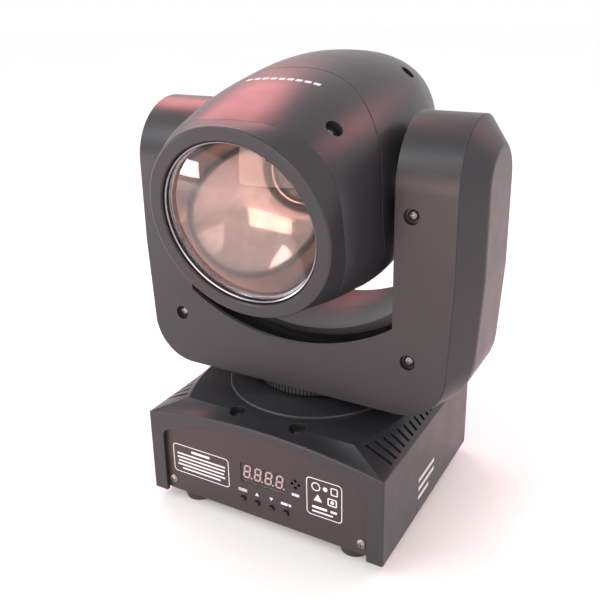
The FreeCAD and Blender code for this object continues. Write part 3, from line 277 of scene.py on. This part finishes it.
def prism(shape, outline, hole, front, back):
    """Closed plate between two planes of constant Y; outline and hole are (x, z) loops of the same length."""
    def loop(points, y):
        return [shape.verts.new((x, y, z)) for x, z in points]

    count = len(outline)
    outer_front, outer_back = loop(outline, front), loop(outline, back)
    rings = [(outer_front, outer_back)]
    if hole:
        inner_front, inner_back = loop(hole, front), loop(hole, back)
        rings.append((inner_front, inner_back))
        for near, far in ((outer_front, inner_front), (outer_back, inner_back)):
            for index in range(count):
                after = (index + 1) % count
                shape.faces.new((near[index], near[after], far[after], far[index]))
    else:
        shape.faces.new(outer_front)
        shape.faces.new(outer_back)
    for near, far in rings:
        for index in range(count):
            after = (index + 1) % count
            shape.faces.new((near[index], near[after], far[after], far[index]))


def rounded(x_low, x_high, z_low, z_high, radius, steps=5):
    """Loop of a rectangle with rounded corners."""
    centres = [(x_high - radius, z_high - radius, 0), (x_low + radius, z_high - radius, 90),
               (x_low + radius, z_low + radius, 180), (x_high - radius, z_low + radius, 270)]
    return [(cx + radius * math.cos(math.radians(start + 90 * step / steps)),
             cz + radius * math.sin(math.radians(start + 90 * step / steps)))
            for cx, cz, start in centres for step in range(steps + 1)]


def disc_loop(x, z, radius, count=24):
    """Loop of a circle."""
    return [(x + radius * math.cos(2 * math.pi * i / count), z + radius * math.sin(2 * math.pi * i / count))
            for i in range(count)]


# ---------------------------------------------------------------- printing on the control panel

PANEL_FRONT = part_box("control_panel")[0].y
INK = 0.05 * MM
LINE = 0.55


class Print:
    """White printing: every mark is a thin closed plate on the panel, given in millimetres."""

    def __init__(self, shape, front, back):
        self.shape, self.front, self.back = shape, front, back

    def plate(self, outline, hole=None):
        metres = [(x * MM, z * MM) for x, z in outline]
        inner = [(x * MM, z * MM) for x, z in hole] if hole else None
        prism(self.shape, metres, inner, self.front, self.back)

    def bar(self, x_low, x_high, z_middle, height=1.0):
        self.plate(rounded(x_low, x_high, z_middle - height / 2, z_middle + height / 2, height * 0.3, 3))

    def frame(self, x_low, x_high, z_low, z_high, radius, line=LINE):
        self.plate(rounded(x_low, x_high, z_low, z_high, radius),
                   rounded(x_low + line, x_high - line, z_low + line, z_high - line, radius - line))

    def circle(self, x, z, radius, line=None):
        self.plate(disc_loop(x, z, radius), disc_loop(x, z, radius - line) if line else None)

    def triangle(self, x, z, half, up=1):
        foot, tip = z - up * half * 0.8, z + up * half * 0.9
        self.plate([(x - half, foot), (x + half, foot), (x, tip)])


def print_panel(shape):
    """Two framed fields of plain bars and shapes on the control panel."""
    ink = Print(shape, PANEL_FRONT - INK, PANEL_FRONT + 0.2 * INK)
    # frame on the left: a heading and rows of plain bars
    left, right, low, high = -64.8, -22.7, 22.4, 42.5
    ink.frame(left, right, low, high, 2.6)
    middle = (left + right) / 2
    ink.bar(middle - 7.0, middle + 7.0, high - 3.4, 1.7)
    for row, half_width in enumerate((18.2, 18.0, 17.2, 18.0, 14.5)):
        ink.bar(middle - half_width, middle + half_width, high - 6.6 - 2.55 * row, 1.15)
    # frame on the right: plain shapes and three bars
    left, right, low, high = 31.0, 53.9, 24.0, 49.0
    ink.frame(left, right, low, high, 2.6)
    ink.circle(37.2, 43.6, 2.9, 0.7)
    ink.circle(43.2, 43.6, 1.5)
    ink.frame(46.6, 51.2, 41.0, 46.2, 0.9, 0.7)
    ink.triangle(38.4, 36.4, 2.8)
    ink.frame(44.6, 50.6, 33.6, 38.8, 0.9, 0.8)
    ink.circle(47.6, 36.2, 1.2)
    ink.bar(34.6, 44.4, 29.9, 1.6)
    ink.bar(46.4, 50.6, 29.9, 1.6)
    ink.bar(34.6, 48.0, 27.0, 1.1)


LEGEND_RISE = 6.1


def print_legends(shape):
    """Plain symbols above the buttons and under the microphone holes."""
    ink = Print(shape, PANEL_FRONT - INK, PANEL_FRONT + 0.2 * INK)
    for name in ("button_menu", "button_up", "button_down", "button_enter"):
        low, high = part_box(name)
        x = (low.x + high.x) / 2 / MM
        z = (low.z + high.z) / 2 / MM + LEGEND_RISE
        if name == "button_menu":
            for row in (-1, 0, 1):
                ink.bar(x - 3.2, x + 3.0, z + 0.75 * row, 0.45)
        elif name == "button_enter":
            ink.bar(x - 3.4, x + 1.2, z, 1.7)
            ink.bar(x + 1.8, x + 3.6, z, 1.7)
        else:
            ink.triangle(x, z, 1.35, 1 if name == "button_up" else -1)
    ink.bar(21.2, 26.2, 33.3, 1.7)


WHITE_INK = painted("white_ink", (0.72, 0.71, 0.70), 0.5, peel=0.5 * MM)
new_piece("panel_print", print_panel, WHITE_INK, "base")
new_piece("button_legends", print_legends, WHITE_INK, "base")


# ---------------------------------------------------------------- marks on the head and on the base's side

HEAD_MARK_STATION = 24.0 * MM
HEAD_MARK_HALF = 1.3 * MM
HEAD_MARK_MIDDLE = 87.0
HEAD_MARK_PITCH, HEAD_MARK_SPAN, HEAD_MARK_STEPS = 5.0, 3.6, 4


def head_marks(shape):
    """Row of plain dashes round the top of the front shell, just ahead of the seam; angles in degrees."""
    mesh = NODES["front_shell"].data
    corners = [vertex.co for vertex in mesh.vertices]
    skin = BVHTree.FromPolygons(corners, [face.vertices for face in mesh.polygons])
    side = Vector((1, 0, 0))
    up = LENS_AXIS.cross(side)
    far = 120 * MM
    for place in range(-4, 5):
        start = HEAD_MARK_MIDDLE + HEAD_MARK_PITCH * place
        top, low = [], []
        for step in range(HEAD_MARK_STEPS + 1):
            angle = math.radians(start + HEAD_MARK_SPAN * step / HEAD_MARK_STEPS)
            way = side * math.cos(angle) + up * math.sin(angle)
            for shift in (-HEAD_MARK_HALF, HEAD_MARK_HALF):
                origin = TILT_CENTRE + LENS_AXIS * (HEAD_MARK_STATION + shift) + way * far
                hit = skin.ray_cast(origin, -way)[0]
                top.append(shape.verts.new(hit + way * INK))
                low.append(shape.verts.new(hit - way * INK))
        for step in range(HEAD_MARK_STEPS):
            a, b, c, e = 2 * step, 2 * step + 1, 2 * step + 3, 2 * step + 2
            shape.faces.new((top[a], top[b], top[c], top[e]))
            shape.faces.new((low[e], low[c], low[b], low[a]))
            shape.faces.new((top[a], top[e], low[e], low[a]))
            shape.faces.new((top[b], low[b], low[c], top[c]))
        for a, b in ((0, 1), (2 * HEAD_MARK_STEPS, 2 * HEAD_MARK_STEPS + 1)):
            shape.faces.new((top[a], low[a], low[b], top[b]))


new_piece("head_marks", head_marks, WHITE_INK, "head")


def side_marks(shape):
    """Three plain level bars on the right-hand side of the base, the lowest one shorter."""
    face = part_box("base_shell")[1].x
    y_low, tall = -19, 2.5
    for y_high, z_low in ((7, 28.5), (7, 22.5), (-2, 16.5)):
        corners = [(y_low, z_low), (y_high, z_low), (y_high, z_low + tall), (y_low, z_low + tall)]
        outer = [shape.verts.new((face + INK, y * MM, z * MM)) for y, z in corners]
        inner = [shape.verts.new((face - INK, y * MM, z * MM)) for y, z in corners]
        shape.faces.new(outer)
        shape.faces.new(inner)
        for index in range(4):
            after = (index + 1) % 4
            shape.faces.new((outer[index], outer[after], inner[after], inner[index]))


new_piece("side_marks", side_marks, WHITE_INK, "base")


# ---------------------------------------------------------------- display digits

def print_digits(shape):
    """Four seven-segment digits with their points, between the window and the module."""
    window_low, window_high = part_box("display_window")
    module_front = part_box("display_module")[0].y
    ink = Print(shape, module_front - 0.12 * MM, module_front + 0.01 * MM)
    centre_x = (window_low.x + window_high.x) / 2 / MM
    centre_z = (window_low.z + window_high.z) / 2 / MM
    pitch, height, width, thick, gap = 7.5, 9.1, 4.9, 1.05, 0.16
    lean = math.tan(math.radians(8))

    def segment(x, z, length, upright, origin_x):
        half, tip = length / 2 - gap, thick / 2
        if upright:
            loop = [(x, z - half), (x + tip, z - half + tip), (x + tip, z + half - tip), (x, z + half),
                    (x - tip, z + half - tip), (x - tip, z - half + tip)]
        else:
            loop = [(x - half, z), (x - half + tip, z - tip), (x + half - tip, z - tip), (x + half, z),
                    (x + half - tip, z + tip), (x - half + tip, z + tip)]
        ink.plate([(origin_x + px + pz * lean, centre_z + pz) for px, pz in loop])

    half_height, across = (height - thick) / 2, width - thick
    for index in range(4):
        origin = centre_x + (index - 1.5) * pitch - 0.6
        for level in (-1, 0, 1):
            segment(0, level * half_height, across, False, origin)
        for side in (-1, 1):
            for level in (-0.5, 0.5):
                segment(side * across / 2, level * half_height, half_height, True, origin)
        ink.circle(origin + across / 2 + 1.55 - half_height * lean, centre_z - half_height, 0.62)


SEGMENT = Finish("display_segment", (0.62, 0.58, 0.56), 0.5)
mottle = SEGMENT.spread(SEGMENT.noise(1.5 * MM), 0.0, 1.0)
SEGMENT.link(SEGMENT.mix(mottle, (0.56, 0.52, 0.50), (0.68, 0.64, 0.61)), SEGMENT.shader.inputs["Base Color"])
SEGMENT.set("Emission Color", (1.0, 0.93, 0.90, 1.0)).set("Emission Strength", 0.9)
new_piece("display_digits", print_digits, SEGMENT.done(), "base")


# ---------------------------------------------------------------- reflector behind the lens

def shape_reflector(shape):
    """Polished bowl of sheet metal from the lens's seat down to the light guide, as a closed shell."""
    mouth_radius, throat_radius = 45.6 * MM, 13.6 * MM
    mouth, throat = 72.0 * MM, 43.6 * MM
    bow, thick, steps, count = 2.2, 0.5 * MM, 36, 96
    profile = []
    for step in range(steps + 1):
        share = step / steps
        radius = throat_radius + (mouth_radius - throat_radius) * share
        ahead = throat + (mouth - throat) * share ** bow
        profile.append((radius, ahead))
    profile += [(mouth_radius + thick, mouth)]
    profile += [(radius + 0.3 * thick, ahead - thick) for radius, ahead in reversed(profile[:-1])]
    side = Vector((1, 0, 0))
    up = side.cross(LENS_AXIS)
    rings = []
    for turn in range(count):
        angle = 2 * math.pi * turn / count
        way = side * math.cos(angle) + up * math.sin(angle)
        rings.append([shape.verts.new(TILT_CENTRE + LENS_AXIS * ahead + way * radius)
                      for radius, ahead in profile])
    for turn in range(count):
        near, far = rings[turn], rings[(turn + 1) % count]
        for index in range(len(profile)):
            after = (index + 1) % len(profile)
            face = shape.faces.new((near[index], near[after], far[after], far[index]))
            face.smooth = True


REFLECTOR = metal("polished_reflector", (0.42, 0.25, 0.22), 0.10)
new_piece("lens_reflector", shape_reflector, REFLECTOR, "head")


# ---------------------------------------------------------------- camera, floor and light

camera = bpy.data.objects.new("camera", bpy.data.cameras.new("camera"))
bpy.context.scene.collection.objects.link(camera)
camera.location = (0.215564, -0.393118, 0.309907)
camera.rotation_euler = Euler([math.radians(turn) for turn in (71.3095, 0.9072, 29.0913)], "XYZ")
camera.data.sensor_width = 36.0
camera.data.lens = 46.17
camera.data.shift_x = -0.0094
camera.data.shift_y = -0.0828
camera.data.clip_start, camera.data.clip_end = 0.01, 50.0
bpy.context.scene.camera = camera


def floor_finish():
    """Near-white paper sweep with a barely visible cloud."""
    finish = Finish("studio_floor", (0.96, 0.96, 0.96), 0.8)
    cloud = finish.spread(finish.noise(0.5), 0.0, 1.0)
    finish.link(finish.mix(cloud, (0.985, 0.985, 0.985), (1.0, 1.0, 1.0)), finish.shader.inputs["Base Color"])
    return finish.done()


def make_floor(radius=6.0, below=0.05 * MM):
    """Wide disc just under the feet."""
    shape = bmesh.new()
    bmesh.ops.create_circle(shape, cap_ends=True, radius=radius, segments=96)
    mesh = bpy.data.meshes.new("studio_floor")
    shape.to_mesh(mesh)
    shape.free()
    floor = bpy.data.objects.new("studio_floor", mesh)
    bpy.context.scene.collection.objects.link(floor)
    floor.location.z = -below
    mesh.materials.append(floor_finish())


def soft_light(name, at, size, power, colour=(1.0, 1.0, 1.0), aim=(0.0, 0.0, 0.15)):
    """Rectangular area light that faces the object and that the camera doesn't see."""
    lamp = bpy.data.lights.new(name, "AREA")
    lamp.shape = "RECTANGLE"
    lamp.size, lamp.size_y = size
    lamp.energy = power
    lamp.color = colour
    holder = bpy.data.objects.new(name, lamp)
    bpy.context.scene.collection.objects.link(holder)
    holder.location = at
    holder.visible_camera = False
    holder.rotation_euler = (Vector(aim) - Vector(at)).to_track_quat("-Z", "Y").to_euler()


make_floor()
# the tinted lamps stand for stage light; the last two are low in front and show in the lens
ROSE = (1.0, 0.30, 0.32)
PEACH = (1.0, 0.66, 0.54)
soft_light("key_softbox", (-0.75, -1.05, 1.15), (0.8, 0.8), 7.0)
soft_light("fill_softbox", (1.30, -0.95, 0.90), (0.9, 1.0), 2.5)
soft_light("top_softbox", (-0.74, 0.55, 1.04), (0.6, 0.5), 8.0, colour=ROSE)
soft_light("right_softbox", (0.75, 0.75, 1.05), (0.6, 0.5), 4.0, colour=ROSE)
soft_light("warm_panel", (-0.10, -1.05, 0.20), (0.70, 0.36), 4.0, colour=PEACH)
soft_light("low_strip", (-0.85, -0.52, 0.10), (0.30, 0.12), 1.8, colour=(1.0, 0.86, 0.90))

world = bpy.data.worlds.new("studio")
bpy.context.scene.world = world
world.use_nodes = True
background = world.node_tree.nodes["Background"]
background.inputs["Color"].default_value = (1.0, 1.0, 1.0, 1.0)
background.inputs["Strength"].default_value = 1.0
bpy.context.scene.view_settings.view_transform = "Standard"
